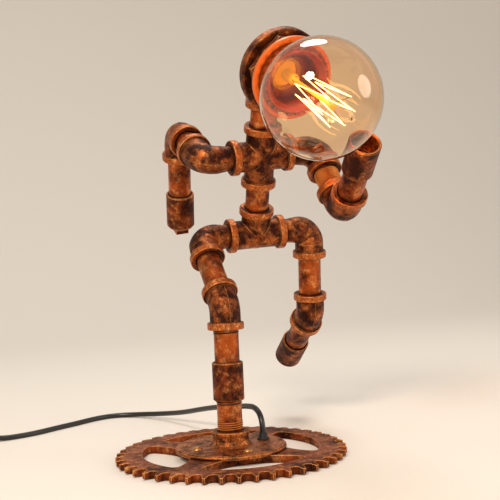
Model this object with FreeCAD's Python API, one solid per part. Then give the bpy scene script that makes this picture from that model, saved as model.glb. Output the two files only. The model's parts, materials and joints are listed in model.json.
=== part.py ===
import FreeCAD, Part
import math
import os

# A desk lamp in the shape of a running robot, made of malleable iron pipe fittings, steel
# pipe nipples, a floor flange, a chain sprocket as its base and a large globe bulb as its
# face. Millimetres, +Z up, the robot runs towards -Y. The origin is under the middle of the
# sprocket, on the table. Left and right are as the camera in front of the lamp sees them.

# Half-inch pipe and the fittings that go with it
pipe_radius = 10.65
pipe_bore = 8.0
thread_engagement = 13.0
socket_end_room = 1.0
thread_gap = 0.05
mouth_chamfer = 1.0
nipple_end_chamfer = 0.7
seam_tolerance = 0.001

band_radius = 15.7
band_width = 6.1
band_rounding = 0.8
body_radius = 13.3
passage_radius = 8.0
street_bore = 7.5
coupling_chamfer = 0.9
coupling_relief_radius = 11.1

elbow_bend = 14.0
angle_bend = 16.0
street_bend = 13.5
street_radii = (13.2, 13.0, 12.6, 12.2)
street_neck_radius = 10.9
street_neck_straight = 3.0
ball_swell = 0.3
elbow_reach = 26.9
hip_elbow_reach = 27.1
angle_reach = 19.6
cross_reach = 28.35
tee_run_reach = 26.7
tee_branch_reach = 26.7

# How much of each nipple or street leg shows between two fittings
lower_leg_show = 25.9
leg_coupling_length = 32.8
upper_leg_show = 27.7
left_thigh_show = 35.7
right_thigh_show = 35.5
right_shin_show = 36.2
torso_show = 22.3
neck_show = 17.6
left_arm_show = 16.3
right_arm_show = 19.5
left_forearm_show = 35.8
right_forearm_show = 28.65
left_hip_street = 25.4
right_hip_street = 26.9
left_shoulder_street = 25.4
right_shoulder_street = 25.9
end_coupling_length = 33.7

# The running pose, in degrees
thigh_tilt = 45.0
hip_roll = -4.0
lean = 26.6
shoulder_roll = 3.0
head_twist = 1.5
left_arm_turn = 91.0
left_forearm_turn = -93.0
right_arm_turn = -64.0
right_forearm_turn = 95.5
right_thigh_turn = 11.4
right_shin_turn = -90.5
knee_angle = 45.0

# Sprocket that serves as the foot plate
tooth_count = 45
sprocket_thickness = 6.5
tip_radius = 98.5
pitch_radius = 94.8
roller_radius = 4.3
tooth_land = 2.0
tooth_bevel = 1.2
bevel_reach = 5.0
window_outer_radius = 76.0
window_arc_radius = 58.5
window_arc_centre = 97.0
window_corner = 5.0
window_phase = -2.0
sprocket_bore = 12.5
cable_slot_width = 6.4

# Floor flange
flange_radius = 47.6
flange_plate = 3.5
flange_rounding = 1.2
collar_height = 12.2
collar_radius = 15.4
collar_foot_radius = 19.5
collar_foot_height = 4.0
collar_bead_radius = 16.6
collar_bead_height = 3.6
flange_recess_radius = 14.5
flange_recess_depth = 1.6
flange_hole_circle = 31.5
flange_hole_phase = 7.0
flange_hole_radius = 3.9
screw_radius = 2.4
screw_head_radius = 4.3
screw_head_height = 2.6
screw_gap = 0.05
screw_end_room = 0.8

# Head: a reducing elbow, a hexagon bushing, the lampholder with two shade rings and the bulb
head_small_reach = 41.1
head_rim_reach = 36.8
head_bend = 33.0
head_rim_radius = 36.3
head_rim_width = 9.0
head_rim_rounding = 1.4
head_body_radii = (32.5, 29.5, 25.0, 19.5, 14.0)
head_wall = 3.2
head_thread_radius = 29.8
head_thread_depth = 17.0
thread_wall_room = 2.8
thread_room = 0.2
bushing_gap = 4.2
bushing_hex_thickness = 5.5
bushing_hex_radius = 34.2
bushing_hex_turn = 18.0
bushing_hex_bevel = 2.2
bushing_thread_length = 19.0
rear_ring_gap = 3.1
rear_ring_radius = 34.5
rear_ring_thickness = 4.6
front_ring_gap = 1.2
front_ring_radius = 29.4
front_ring_lip_radius = 26.6
front_ring_thickness = 7.0
front_ring_overlap = 1.6
front_ring_grip = 4.4
front_ring_lip = 0.8
front_ring_flare = 2.0
grip_count = 24
grip_depth = 2.2
grip_width = 3.6
holder_radius = 24.0
holder_wall = 2.5
holder_length = 48.0
holder_floor_depth = 21.0
holder_rear_radius = 13.0
holder_lead_hole = 3.0
contact_radius = 6.0
contact_thickness = 1.6
shell_radius = 14.1
shell_wall = 0.8

# The bulb, measured along its axis from the foot of its cap
cap_depth = 42.2
bulb_length = 137.95
globe_radius = 47.5
glass_wall = 0.9
neck_radius = 12.5
neck_flare_radius = 16.2
neck_flare_reach = 36.2
blend_reach = 52.7
cap_length = 24.2
cap_tip = 3.0
glass_in_cap = 6.0
stem_radius = 5.2
stem_gap = 0.1
stem_length = 92.0
stem_pinch_reach = 41.2
stem_pinch_thinning = 0.6
stem_shoulder = 6.0
stem_rod_radius = 1.7
filament_radius = 0.35
filament_limbs = 12
filament_near_reach = 61.2
filament_far_reach = 119.2
filament_near_radius = 9.5
filament_far_radius = 13.5
hook_radius = 0.3
hook_room = 0.5
far_hook_setback = 12.0

# Plug in the left hand
plug_square = 12.3
plug_square_height = 7.6
plug_collar = 1.2

# Lead, cord, in-line switch and mains plug
lead_radius = 2.5
cord_radius = 2.5
lead_height = 3.3
relief_radius = 3.85
relief_collar_radius = 5.4
relief_collar_height = 1.6
relief_top_radius = 3.1
relief_height = 6.2
relief_sunk = 2.6
relief_gap = 0.05

coil_centre_x = -262.0
coil_centre_y = 75.0
coil_outer_radius = 36.4
coil_pitch = 5.6
coil_layer_step = 5.6
coil_half_turns = 13
coil_climb_step = 6
coil_climb_room = 0.9
coil_straight = 5.0
coil_samples = 60

switch_x = -205.0
switch_y = 176.5
switch_length = 60.0
switch_width = 26.0
switch_height = 18.0
switch_rounding = 3.0
rocker_radius = 8.0
rocker_width = 9.0
rocker_gap = 0.25
rocker_pin_radius = 1.2
rocker_pin_height = 11.5
rocker_pin_overhang = 2.5
rocker_pin_room = 0.2
rocker_rise = 2.0
rocker_angle = 8.0

mains_plug_width = 25.0
mains_plug_height = 15.6
mains_plug_length = 32.0
mains_plug_rounding = 3.5
plug_sleeve_length = 27.0
plug_sleeve_radius = 4.4
plug_sleeve_tip = 3.2
blade_spacing = 12.7
blade_width = 6.3
blade_thickness = 1.5
blade_length = 16.0

# Route of the free cord, from the flange to the switch and on to the coil
cord_to_switch = [
    (31.27, 3.84, 10.0),
    (31.27, 3.84, 21.5),
    (31.6, 10.0, 31.0),
    (31.2, 22.5, 35.5),
    (29.5, 39.0, 34.0),
    (26.5, 61.0, 30.5),
    (22.0, 90.0, 26.5),
    (15.0, 124.0, 20.0),
    (6.0, 160.0, 12.0),
    (-6.0, 195.0, 6.5),
    (-23.0, 225.0, 3.0),
    (-46.0, 238.0, 2.5),
    (-68.0, 233.0, 2.5),
    (-92.0, 217.0, 2.5),
    (-116.0, 203.0, 2.5),
    (-138.0, 188.5, 2.5),
    (-160.0, 181.0, 2.5),
    (-174.0, 179.0, 3.0),
    (-184.5, 177.3, 6.0),
    (-194.5, 176.5, 9.0),
    (-205.0, 176.5, 9.0),
]
cord_to_coil = [
    (-265.0, 176.5, 9.0),
    (-275.0, 176.5, 9.0),
    (-285.5, 172.5, 6.5),
    (-293.5, 163.0, 4.0),
    (-298.6, 150.0, 2.5),
    (-301.0, 128.0, 2.5),
    (-298.4, 104.0, 2.5),
    (-298.4, 80.0, 2.5),
]


def vector(x, y, z):
    return FreeCAD.Vector(x, y, z)


def turned(direction, axis, degrees):
    """A direction turned about an axis, right-handed."""
    return FreeCAD.Rotation(axis, degrees).multVec(direction)


def unit(direction):
    length = direction.Length
    return direction * (1.0 / length)


# Skeleton of the robot, from the foot plate up: centres of the fittings and pipe directions
up = vector(0, 0, 1)
side = vector(1, 0, 0)
flange_top = sprocket_thickness + flange_plate + collar_height
coupling_start = flange_top + lower_leg_show
upper_leg_start = coupling_start + leg_coupling_length
knee = vector(0, 0, upper_leg_start + upper_leg_show + angle_reach)
thigh_dir = turned(up, side, -thigh_tilt)
hip_dir = turned(side, thigh_dir, hip_roll)
left_hip = knee + thigh_dir * (angle_reach + left_thigh_show + hip_elbow_reach)
hip_centre = left_hip + hip_dir * (left_hip_street + tee_run_reach)
right_hip = hip_centre + hip_dir * (tee_run_reach + right_hip_street)
plumb = unit(up - hip_dir * up.dot(hip_dir))
spine_dir = turned(plumb, hip_dir, lean)
waist_plane = hip_centre + spine_dir * (tee_branch_reach + torso_show)
chest = waist_plane + spine_dir * cross_reach
shoulder_dir = turned(hip_dir, spine_dir, shoulder_roll)
left_shoulder = chest - shoulder_dir * (cross_reach + left_shoulder_street)
right_shoulder = chest + shoulder_dir * (cross_reach + right_shoulder_street)
face_dir = turned(shoulder_dir.cross(spine_dir), spine_dir, head_twist)
neck_plane = chest + spine_dir * (cross_reach + neck_show)
head_centre = neck_plane + spine_dir * head_small_reach
left_arm_dir = turned(-spine_dir, shoulder_dir, left_arm_turn)
left_elbow = left_shoulder + left_arm_dir * (2 * elbow_reach + left_arm_show)
left_forearm_dir = turned(-shoulder_dir, left_arm_dir, left_forearm_turn)
right_arm_dir = turned(-spine_dir, shoulder_dir, right_arm_turn)
right_elbow = right_shoulder + right_arm_dir * (2 * elbow_reach + right_arm_show)
right_forearm_dir = turned(shoulder_dir, right_arm_dir, right_forearm_turn)
right_thigh_dir = turned(-plumb, hip_dir, right_thigh_turn)
right_knee = right_hip + right_thigh_dir * (hip_elbow_reach + right_thigh_show + angle_reach)
kick_dir = turned(hip_dir, right_thigh_dir, right_shin_turn)
knee_bend = math.radians(knee_angle)
right_shin_dir = right_thigh_dir * math.cos(knee_bend) + kick_dir * math.sin(knee_bend)

socket_radius = pipe_radius + thread_gap
socket_depth = thread_engagement + socket_end_room

# Places along the axis of the face, from the centre of the head
hex_start = head_rim_reach + bushing_gap
rear_ring_start = hex_start + bushing_hex_thickness + rear_ring_gap
front_ring_start = rear_ring_start + rear_ring_thickness + front_ring_gap
holder_mouth = front_ring_start + front_ring_overlap
holder_rear = holder_mouth - holder_length
holder_floor = holder_mouth - holder_floor_depth
cap_start = holder_mouth - cap_depth
globe_centre = cap_start + bulb_length - globe_radius
neck_flare_at = cap_start + neck_flare_reach
blend_at = cap_start + blend_reach
stem_pinch = cap_start + stem_pinch_reach
filament_near = cap_start + filament_near_reach
filament_far = cap_start + filament_far_reach


def joined(shapes, tolerance=0.0):
    """One solid out of several that meet or overlap, without the seams between equal surfaces."""
    return shapes[0].fuse(shapes[1:], tolerance).removeSplitter()


def cut_all(body, tools):
    return body.cut(tools)


def rod(start, direction, radius, length):
    return Part.makeCylinder(radius, length, start, direction)


def disc(centre, direction, radius):
    return Part.Face(Part.Wire(Part.makeCircle(radius, centre, direction)))


def rounded_rod(start, direction, radius, length, rounding):
    """A cylinder with both its end edges rounded."""
    body = rod(start, direction, radius, length)
    rims = [edge for edge in body.Edges if isinstance(edge.Curve, Part.Circle)]
    return body.makeFillet(rounding, rims)


def chamfered_tube(start, direction, radius, bore, length, chamfer):
    """A pipe whose outer end edges are bevelled."""
    body = rod(start, direction, radius, length)
    rims = [edge for edge in body.Edges if isinstance(edge.Curve, Part.Circle)]
    body = body.makeChamfer(chamfer, rims)
    return body.cut(rod(start - direction, direction, bore, length + 2))


def bend_frame(centre, from_dir, to_dir, bend_radius):
    """Where a bend between two port directions starts, its middle, its axis and its angle."""
    turn = math.degrees((-from_dir).getAngle(to_dir))
    tangent = bend_radius * math.tan(math.radians(turn / 2))
    inward = unit(to_dir - from_dir * to_dir.dot(from_dir))
    start = centre + from_dir * tangent
    middle = start + inward * bend_radius
    axis = (-from_dir).cross(inward)
    return start, middle, axis, turn, tangent


def lofted_bend(centre, from_dir, to_dir, radii, bend_radius):
    """A bend whose radius changes on the way: one ring for each radius, their seams in line."""
    start, middle, axis, turn, _ = bend_frame(centre, from_dir, to_dir, bend_radius)
    rings = []
    for number, radius in enumerate(radii):
        angle = turn * number / (len(radii) - 1)
        place = middle + turned(start - middle, axis, angle)
        heading = turned(-from_dir, axis, angle)
        ring = Part.Wire(Part.makeCircle(radius))
        ring.Placement = FreeCAD.Placement(
            place, FreeCAD.Rotation(axis, heading.cross(axis), heading, "ZXY")
        )
        rings.append(ring)
    return Part.makeLoft(rings, True, False)


def bent_passage(centre, from_dir, from_length, to_dir, to_length, radius, bend_radius):
    """A round bar along two legs and the bend between them."""
    start, middle, axis, turn, tangent = bend_frame(centre, from_dir, to_dir, bend_radius)
    first = centre + from_dir * from_length
    last = centre + to_dir * to_length
    arc_end = centre + to_dir * tangent
    arc_middle = middle + turned(start - middle, axis, turn / 2)
    path = Part.Wire([
        Part.LineSegment(first, start).toShape(),
        Part.Arc(start, arc_middle, arc_end).toShape(),
        Part.LineSegment(arc_end, last).toShape(),
    ])
    ring = Part.Wire(Part.makeCircle(radius, first, from_dir))
    return path.makePipeShell([ring], True, False)


def port_band(centre, direction, reach):
    """The thick rounded band round the mouth of a port."""
    return rounded_rod(
        centre + direction * (reach - band_width), direction, band_radius, band_width, band_rounding
    )


def port_socket(centre, direction, reach):
    """The threaded socket of a port, with the bevel at its mouth."""
    mouth = centre + direction * reach
    hole = rod(mouth - direction * socket_depth, direction, socket_radius, socket_depth + 1)
    bevel = Part.makeCone(
        socket_radius, socket_radius + mouth_chamfer, mouth_chamfer,
        mouth - direction * mouth_chamfer, direction,
    )
    return hole.fuse(bevel)


def elbow(centre, first_dir, first_reach, second_dir, second_reach, bend_radius):
    """A banded elbow with a threaded socket at each end."""
    body = bent_passage(
        centre, first_dir, first_reach - 1, second_dir, second_reach - 1, body_radius, bend_radius
    )
    body = joined([
        body,
        port_band(centre, first_dir, first_reach),
        port_band(centre, second_dir, second_reach),
    ])
    passage = bent_passage(
        centre, first_dir, first_reach, second_dir, second_reach, passage_radius, bend_radius
    )
    return cut_all(body, [
        passage,
        port_socket(centre, first_dir, first_reach),
        port_socket(centre, second_dir, second_reach),
    ])


def street_elbow(centre, socket_dir, socket_reach, male_dir, male_show):
    """An elbow with a banded socket at one end and an outside thread at the other."""
    tangent = bend_frame(centre, socket_dir, male_dir, street_bend)[4]
    female_leg = rod(
        centre + socket_dir * tangent, socket_dir, body_radius, socket_reach - tangent - 1
    )
    neck_start = centre + male_dir * tangent
    taper_length = male_show - street_neck_straight - tangent
    taper = Part.makeCone(
        street_radii[-1], street_neck_radius, taper_length, neck_start, male_dir
    )
    neck = rod(neck_start + male_dir * taper_length, male_dir, street_neck_radius, street_neck_straight)
    thread = rod(centre + male_dir * male_show, male_dir, pipe_radius, thread_engagement)
    body = joined([
        lofted_bend(centre, socket_dir, male_dir, street_radii, street_bend),
        female_leg,
        taper,
        neck,
        thread,
        port_band(centre, socket_dir, socket_reach),
    ], seam_tolerance)
    passage = bent_passage(
        centre, socket_dir, socket_reach, male_dir, male_show + thread_engagement + 1,
        street_bore, street_bend,
    )
    return cut_all(body, [passage, port_socket(centre, socket_dir, socket_reach)])


def branched_fitting(centre, ports):
    """A tee or a cross: a banded socket in each direction given."""
    legs = [rod(centre, direction, body_radius, reach - 1) for direction, reach in ports]
    bands = [port_band(centre, direction, reach) for direction, reach in ports]
    ball = Part.makeSphere(body_radius + ball_swell, centre)
    body = joined(legs + [ball] + bands)
    cuts = [rod(centre, direction, passage_radius, reach) for direction, reach in ports]
    cuts += [port_socket(centre, direction, reach) for direction, reach in ports]
    cuts.append(Part.makeSphere(passage_radius, centre))
    return cut_all(body, cuts)


def nipple(first_mouth, direction, show):
    """A pipe nipple, screwed into a fitting at each end."""
    return chamfered_tube(
        first_mouth - direction * thread_engagement, direction, pipe_radius, pipe_bore,
        show + 2 * thread_engagement, nipple_end_chamfer,
    )


def coupling(start, direction, length):
    """A plain steel coupling, threaded right through."""
    body = chamfered_tube(start, direction, body_radius, socket_radius, length, coupling_chamfer)
    bevels = [
        Part.makeCone(socket_radius + mouth_chamfer, socket_radius, mouth_chamfer, start, direction),
        Part.makeCone(
            socket_radius, socket_radius + mouth_chamfer, mouth_chamfer,
            start + direction * (length - mouth_chamfer), direction,
        ),
    ]
    relief = rod(
        start + direction * socket_depth, direction, coupling_relief_radius, length - 2 * socket_depth
    )
    return cut_all(body, bevels + [relief])


def revolved(points, origin, direction, across):
    """A solid turned from a closed outline of (along, radius) points."""
    corners = [origin + direction * along + across * radius for along, radius in points]
    outline = Part.makePolygon(corners + [corners[0]])
    return Part.Face(outline).revolve(origin, direction, 360)


def sprocket_tooth_plate():
    """The toothed disc: a roller seat between each pair of teeth."""
    spacing = 2 * math.pi / tooth_count
    first_tip = -math.pi / 2
    edges = []
    half_land = tooth_land / 2 / tip_radius
    flank_start = vector(0, 0, 0)
    first_point = None
    for number in range(tooth_count):
        tip_angle = first_tip + number * spacing
        gap_angle = tip_angle + spacing / 2
        seat = vector(pitch_radius * math.cos(gap_angle), pitch_radius * math.sin(gap_angle), 0)
        outward = unit(seat)
        along = vector(-outward.y, outward.x, 0)
        land_start = polar(tip_radius, tip_angle - half_land)
        land_end = polar(tip_radius, tip_angle + half_land)
        if first_point is None:
            first_point = land_start
        else:
            edges.append(Part.LineSegment(flank_start, land_start).toShape())
        seat_right = seat - along * roller_radius
        seat_left = seat + along * roller_radius
        seat_bottom = seat - outward * roller_radius
        edges.append(Part.LineSegment(land_start, land_end).toShape())
        edges.append(Part.LineSegment(land_end, seat_right).toShape())
        edges.append(Part.Arc(seat_right, seat_bottom, seat_left).toShape())
        flank_start = seat_left
    edges.append(Part.LineSegment(flank_start, first_point).toShape())
    return Part.Face(Part.Wire(edges)).extrude(vector(0, 0, sprocket_thickness))


def polar(radius, angle, height=0.0):
    return vector(radius * math.cos(angle), radius * math.sin(angle), height)


def flange_hole_place(number, height):
    angle = math.radians(flange_hole_phase + 90 * number)
    return polar(flange_hole_circle, angle, height)


def base_sprocket():
    plate = sprocket_tooth_plate()
    bevelled = revolved(
        [
            (0, 0),
            (0, tip_radius - bevel_reach),
            (tooth_bevel, tip_radius + 0.5),
            (sprocket_thickness - tooth_bevel, tip_radius + 0.5),
            (sprocket_thickness, tip_radius - bevel_reach),
            (sprocket_thickness, 0),
        ],
        vector(0, 0, 0), up, side,
    )
    plate = plate.common(bevelled)
    cuts = [rod(vector(0, 0, -1), up, sprocket_bore, sprocket_thickness + 2)]
    for number in range(4):
        angle = math.radians(window_phase + 90 * number)
        inner = rod(polar(window_arc_centre, angle, -1), up, window_arc_radius, sprocket_thickness + 2)
        lens = rod(vector(0, 0, -1), up, window_outer_radius, sprocket_thickness + 2).common(inner)
        corners = [
            edge for edge in lens.Edges
            if isinstance(edge.Curve, Part.Line) and edge.Length > sprocket_thickness
        ]
        cuts.append(lens.makeFillet(window_corner, corners))
    for number in (1, 2, 3):
        cuts.append(rod(flange_hole_place(number, -1), up, screw_radius + screw_gap, sprocket_thickness + 2))
    cuts.append(cable_slot())
    return cut_all(plate, cuts)


def cable_slot():
    """Way for the lead, from the centre bore to under the fourth hole of the flange."""
    hole = flange_hole_place(0, 0)
    along = unit(hole)
    across = up.cross(along)
    half = cable_slot_width / 2
    corners = [across * half, across * -half, hole - across * half, hole + across * half]
    corners = [corner - up for corner in corners]
    slot = Part.Face(Part.makePolygon(corners + [corners[0]])).extrude(up * (sprocket_thickness + 2))
    return slot.fuse(rod(hole - up, up, half, sprocket_thickness + 2)).removeSplitter()


def floor_flange():
    bottom = sprocket_thickness
    plate_top = bottom + flange_plate
    bead_start = flange_top - collar_bead_height
    bead_step = (collar_bead_radius - collar_radius) / 2
    body = revolved(
        [
            (bottom, flange_recess_radius),
            (bottom, flange_radius - flange_rounding * 0.3),
            (bottom + flange_rounding, flange_radius),
            (plate_top - flange_rounding, flange_radius - 0.2),
            (plate_top, flange_radius - flange_rounding * 1.4),
            (plate_top, collar_foot_radius),
            (plate_top + collar_foot_height * 0.4, collar_foot_radius - 2.6),
            (plate_top + collar_foot_height, collar_radius),
            (bead_start, collar_radius),
            (bead_start + bead_step, collar_bead_radius),
            (flange_top - bead_step, collar_bead_radius),
            (flange_top, collar_bead_radius - bead_step),
            (flange_top, socket_radius + mouth_chamfer),
            (flange_top - mouth_chamfer, socket_radius),
            (bottom + flange_recess_depth, socket_radius),
            (bottom + flange_recess_depth, flange_recess_radius),
        ],
        vector(0, 0, 0), up, side,
    )
    cuts = []
    for number in range(4):
        radius = flange_hole_radius if number == 0 else screw_radius + screw_gap
        cuts.append(rod(flange_hole_place(number, bottom - 1), up, radius, flange_plate + 2))
    return cut_all(body, cuts)


def flange_screws():
    """Three round-head screws, from the flange through the sprocket."""
    screws = []
    seat = sprocket_thickness + flange_plate
    for number in (1, 2, 3):
        place = flange_hole_place(number, 0)
        shank = rod(
            place + up * screw_end_room, up, screw_radius, seat - screw_end_room + 0.5
        )
        ball_radius = (screw_head_radius ** 2 + screw_head_height ** 2) / (2 * screw_head_height)
        ball = Part.makeSphere(ball_radius, place + up * (seat + screw_head_height - ball_radius))
        head = ball.common(rod(place + up * seat, up, screw_head_radius + 1, screw_head_height + 1))
        screws.append(shank.fuse(head).removeSplitter())
    return Part.makeCompound(screws)


def cord_relief():
    """Rubber strain relief in the fourth hole of the flange."""
    seat = sprocket_thickness + flange_plate
    place = flange_hole_place(0, 0)
    collar_top = seat + relief_collar_height
    return revolved(
        [
            (seat - relief_sunk, cord_radius + relief_gap),
            (seat - relief_sunk, relief_radius),
            (seat, relief_radius),
            (seat, relief_collar_radius),
            (collar_top - 0.5, relief_collar_radius),
            (collar_top, relief_collar_radius - 0.5),
            (collar_top, relief_radius + 0.3),
            (seat + relief_height, relief_top_radius),
            (seat + relief_height, cord_radius + relief_gap),
        ],
        place, up, side,
    )


def head_elbow():
    small_dir = -spine_dir
    loft = lofted_bend(head_centre, face_dir, small_dir, head_body_radii, head_bend)
    rim_band = rounded_rod(
        head_centre + face_dir * (head_rim_reach - head_rim_width), face_dir,
        head_rim_radius, head_rim_width, head_rim_rounding,
    )
    small_leg = rod(
        head_centre + small_dir * head_bend, small_dir, head_body_radii[-1],
        head_small_reach - head_bend - 1,
    )
    band = port_band(head_centre, small_dir, head_small_reach)
    body = joined([loft, rim_band, small_leg, band], seam_tolerance)
    inner_radii = [radius - head_wall for radius in head_body_radii]
    inner_radii[-1] = passage_radius
    hollow = lofted_bend(head_centre, face_dir, small_dir, inner_radii, head_bend)
    thread = rod(
        head_centre + face_dir * (head_rim_reach - head_thread_depth), face_dir,
        head_thread_radius + thread_gap, head_thread_depth + 1,
    )
    thread = thread.common(rod(
        head_centre + face_dir * (head_bend - thread_wall_room - thread_room), face_dir,
        head_rim_radius, head_rim_reach,
    ))
    passage = rod(
        head_centre + small_dir * (head_bend - 1), small_dir, passage_radius,
        head_small_reach - head_bend + 1,
    )
    return cut_all(body, [
        hollow, thread, passage, port_socket(head_centre, small_dir, head_small_reach)
    ])


def head_bushing():
    """Hexagon bushing in the rim, with the opening for the lampholder."""
    across = turned(spine_dir, face_dir, bushing_hex_turn)
    corners = []
    for number in range(6):
        spoke = turned(across, face_dir, 60 * number)
        corners.append(head_centre + face_dir * hex_start + spoke * bushing_hex_radius)
    hexagon = Part.Face(Part.makePolygon(corners + [corners[0]]))
    hexagon = hexagon.extrude(face_dir * bushing_hex_thickness)
    bevel = revolved(
        [
            (hex_start - 1, 0),
            (hex_start - 1, bushing_hex_radius + 1),
            (hex_start + bushing_hex_thickness - bushing_hex_bevel, bushing_hex_radius + 1),
            (hex_start + bushing_hex_thickness, bushing_hex_radius - bushing_hex_bevel),
            (hex_start + bushing_hex_thickness, 0),
        ],
        head_centre, face_dir, spine_dir,
    )
    hexagon = hexagon.common(bevel)
    thread_start = head_centre + face_dir * (hex_start - bushing_thread_length)
    thread = rod(thread_start, face_dir, head_thread_radius, bushing_thread_length + 0.5)
    trim = head_hollow_room()
    body = joined([hexagon, thread.common(trim)])
    bore_length = bushing_thread_length + bushing_hex_thickness + 2
    return body.cut(rod(thread_start - face_dir, face_dir, holder_radius + thread_gap, bore_length))


def head_hollow_room():
    """The cylinder in front of the curved wall of the head, where threads can reach."""
    return rod(
        head_centre + face_dir * (head_bend - thread_wall_room), face_dir,
        head_rim_radius, bushing_thread_length,
    )


def lampholder_body():
    return revolved(
        [
            (holder_rear, holder_lead_hole),
            (holder_rear, holder_rear_radius),
            (holder_rear + 3, holder_rear_radius + 4),
            (holder_rear + 12, holder_radius),
            (holder_mouth, holder_radius),
            (holder_mouth, holder_radius - holder_wall),
            (holder_floor, holder_radius - holder_wall),
            (holder_floor, shell_radius),
            (cap_start - contact_thickness, shell_radius),
            (cap_start - contact_thickness, holder_lead_hole),
        ],
        head_centre, face_dir, spine_dir,
    )


def lampholder_shell():
    """The screw shell that grips the cap of the bulb."""
    start = cap_start + 1.0
    return revolved(
        [
            (start, shell_radius),
            (start, shell_radius - shell_wall),
            (holder_floor, shell_radius - shell_wall),
            (holder_floor, shell_radius),
        ],
        head_centre, face_dir, spine_dir,
    )


def lampholder_contact():
    start = head_centre + face_dir * (cap_start - contact_thickness)
    return rod(start, face_dir, contact_radius, contact_thickness - 0.1)


def rear_shade_ring():
    """The broad ring behind the globe that catches its light."""
    end = rear_ring_start + rear_ring_thickness
    inner = holder_radius + thread_gap
    return revolved(
        [
            (rear_ring_start, inner),
            (rear_ring_start, rear_ring_radius - 2.0),
            (rear_ring_start + 1.4, rear_ring_radius),
            (end - 0.6, rear_ring_radius),
            (end, rear_ring_radius - 0.7),
            (end, rear_ring_radius - 4.0),
            (end - 1.0, rear_ring_radius - 5.6),
            (end - 1.0, inner),
        ],
        head_centre, face_dir, spine_dir,
    )


def front_shade_ring():
    """The grip ring on the mouth of the lampholder, notched all round its edge."""
    end = front_ring_start + front_ring_thickness
    grip_end = front_ring_start + front_ring_grip
    inner = holder_radius + thread_gap
    lip = holder_radius - front_ring_lip
    ring = revolved(
        [
            (front_ring_start, inner),
            (front_ring_start, front_ring_radius),
            (grip_end, front_ring_radius),
            (grip_end, front_ring_lip_radius),
            (end - 0.6, front_ring_lip_radius),
            (end, front_ring_lip_radius - 0.6),
            (end, lip + front_ring_flare),
            (front_ring_start + front_ring_overlap, lip),
            (front_ring_start + front_ring_overlap, inner),
        ],
        head_centre, face_dir, spine_dir,
    )
    notches = []
    for number in range(grip_count):
        outward = turned(spine_dir, face_dir, 360 * number / grip_count)
        along = face_dir.cross(outward)
        corner = head_centre + face_dir * (front_ring_start - 1)
        corner = corner + outward * (front_ring_radius - grip_depth) - along * (grip_width / 2)
        sides = [corner, corner + along * grip_width]
        sides += [sides[1] + outward * (grip_depth + 2), corner + outward * (grip_depth + 2)]
        notch = Part.Face(Part.makePolygon(sides + [corner])).extrude(face_dir * (front_ring_grip + 2))
        notches.append(notch)
    return ring.cut(notches)


def glass_outline(offset):
    """Half outline of the bulb's glass, moved inwards by an offset, from its neck to its top."""
    cap_end = cap_start + cap_length
    reach = globe_radius - offset
    blend_height = globe_centre - blend_at
    blend_angle = math.acos(blend_height / globe_radius)
    blend = (globe_centre - reach * math.cos(blend_angle), reach * math.sin(blend_angle))
    top_angle = (math.pi + blend_angle) / 2
    half_way = (
        globe_centre - reach * math.cos(top_angle),
        reach * math.sin(top_angle),
    )
    return {
        "neck_start": (cap_end - glass_in_cap, neck_radius - offset),
        "neck_end": (cap_end + 1.5, neck_radius - offset),
        "flare": (neck_flare_at, neck_flare_radius - offset),
        "blend": blend,
        "half_way": half_way,
        "top": (globe_centre + reach, 0),
    }


def bulb_place(point):
    return head_centre + face_dir * point[0] + spine_dir * point[1]


def bulb_side(offset):
    """The edges of the glass, from the open end of its neck to its top."""
    outline = glass_outline(offset)
    curve = Part.BSplineCurve()
    curve.interpolate(
        Points=[bulb_place(outline[name]) for name in ("neck_end", "flare", "blend")],
        InitialTangent=face_dir,
        FinalTangent=globe_tangent(),
    )
    return [
        Part.LineSegment(bulb_place(outline["neck_start"]), bulb_place(outline["neck_end"])).toShape(),
        curve.toShape(),
        Part.Arc(
            bulb_place(outline["blend"]), bulb_place(outline["half_way"]), bulb_place(outline["top"])
        ).toShape(),
    ]


def globe_tangent():
    blend_height = globe_centre - blend_at
    angle = math.acos(blend_height / globe_radius)
    return face_dir * math.sin(angle) + spine_dir * math.cos(angle)


def bulb_glass():
    outer = bulb_side(0)
    inner = bulb_side(glass_wall)
    outer_ends = glass_outline(0)
    inner_ends = glass_outline(glass_wall)
    rim = Part.LineSegment(
        bulb_place(inner_ends["neck_start"]), bulb_place(outer_ends["neck_start"])
    ).toShape()
    crown = Part.LineSegment(bulb_place(outer_ends["top"]), bulb_place(inner_ends["top"])).toShape()
    outline = Part.Wire(Part.__sortEdges__([rim] + outer + [crown] + inner))
    return Part.Face(outline).revolve(head_centre, face_dir, 360)


def bulb_cap():
    end = cap_start + cap_length
    outer = shell_radius - shell_wall - thread_gap
    inner = neck_radius + 0.05
    return revolved(
        [
            (cap_start, 0),
            (cap_start, 4.5),
            (cap_start + cap_tip, 9.5),
            (cap_start + cap_tip, outer - 1.0),
            (cap_start + cap_tip + 1.5, outer),
            (end - 1.0, outer),
            (end, outer + 0.35),
            (end, inner),
            (cap_start + cap_tip + 2.5, inner),
            (cap_start + cap_tip + 2.5, 0),
        ],
        head_centre, face_dir, spine_dir,
    )


def bulb_stem():
    """The glass mount inside the neck, with the long rod up the middle of the globe."""
    start = cap_start + cap_length - glass_in_cap
    rod_end = start + stem_length
    flare = neck_radius - glass_wall - stem_gap
    return revolved(
        [
            (start, 0),
            (start, flare),
            (start + 1.2, flare),
            (start + 8, stem_radius),
            (stem_pinch, stem_radius - stem_pinch_thinning),
            (stem_pinch + stem_shoulder, stem_rod_radius),
            (rod_end - 2, stem_rod_radius),
            (rod_end - 1, stem_rod_radius + 0.9),
            (rod_end, stem_rod_radius + 0.9),
            (rod_end + 1, stem_rod_radius - 0.4),
            (rod_end + 1, 0),
        ],
        head_centre, face_dir, spine_dir,
    )


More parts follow.
